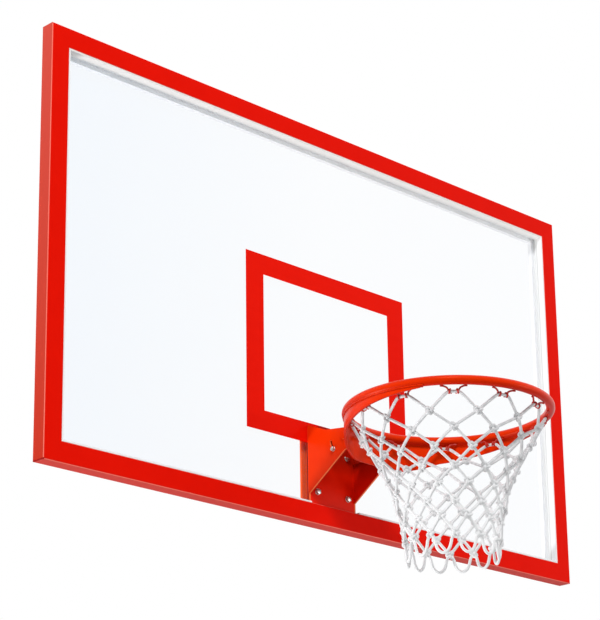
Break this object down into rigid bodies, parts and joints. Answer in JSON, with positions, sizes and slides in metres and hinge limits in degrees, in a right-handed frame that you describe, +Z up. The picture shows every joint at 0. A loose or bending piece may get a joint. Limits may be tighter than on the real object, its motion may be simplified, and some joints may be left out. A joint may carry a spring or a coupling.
{
  "type": "basketball backboard",
  "caption": "Framed clear basketball backboard with a painted target square and a sprung goal: ring, brace band, wire hooks and hanging net that tilt down on a hinge.",
  "frame": {"origin": "centre of the four mounting bushes, on the frame's rear plane at mid height", "axes": "+X to the right along the board's width, +Y from the player through the board to the support behind it, +Z up"},
  "size_m": [1.8, 0.6739, 1.2071],
  "materials": {
    "frame_paint": "gloss red paint",
    "lining": "pale grey",
    "pane": "clear, polished",
    "square_paint": "red film",
    "retainer": "white coated",
    "zinc": "bright zinc",
    "goal_paint": "orange powder coat",
    "hook_paint": "dark red powder coat",
    "pad": "black rubber",
    "nylon": "natural nylon",
    "spring": "oiled spring steel",
    "cord": "white braided cord"
  },
  "bodies": {
    "board": {"rail_top": "frame_paint", "rail_bottom": "frame_paint", "rail_right": "frame_paint", "rail_left": "frame_paint", "lining_top": "lining", "lining_bottom": "lining", "lining_right": "lining", "lining_left": "lining", "pane": "pane", "target_square": "square_paint", "retainer_top": "retainer", "retainer_bottom": "retainer", "retainer_right": "retainer", "retainer_left": "retainer", "retainer_screws": "zinc", "mount_bushes": "zinc", "bracket_bolts": "zinc", "bracket_washers": "zinc", "bracket_nuts": "zinc", "bracket": "goal_paint", "counter_plate": "goal_paint", "hinge_pin": "goal_paint", "pin_cap": "goal_paint", "spring_ledge": "goal_paint", "front_pad": "pad", "rear_pad": "pad", "hinge_spacers": "nylon", "return_springs": "spring"},
    "goal": {"carrier": "goal_paint", "ring": "goal_paint", "skirt": "goal_paint", "wing_right": "goal_paint", "wing_left": "goal_paint", "net_hooks": "hook_paint", "net": "cord", "guide_studs": "zinc", "guide_washers": "zinc", "guide_nuts": "zinc"}
  },
  "joints": [
    {"name": "goal_tilt", "type": "hinge", "parent": "board", "child": "goal", "pos_m": [0, -0.148, -0.329], "axis": [1, 0, 0], "range_deg": [0, 30], "stiffness_Nm_per_rad": 900, "springref_deg": -28.65, "deforming": ["return_springs"]}
  ]
}
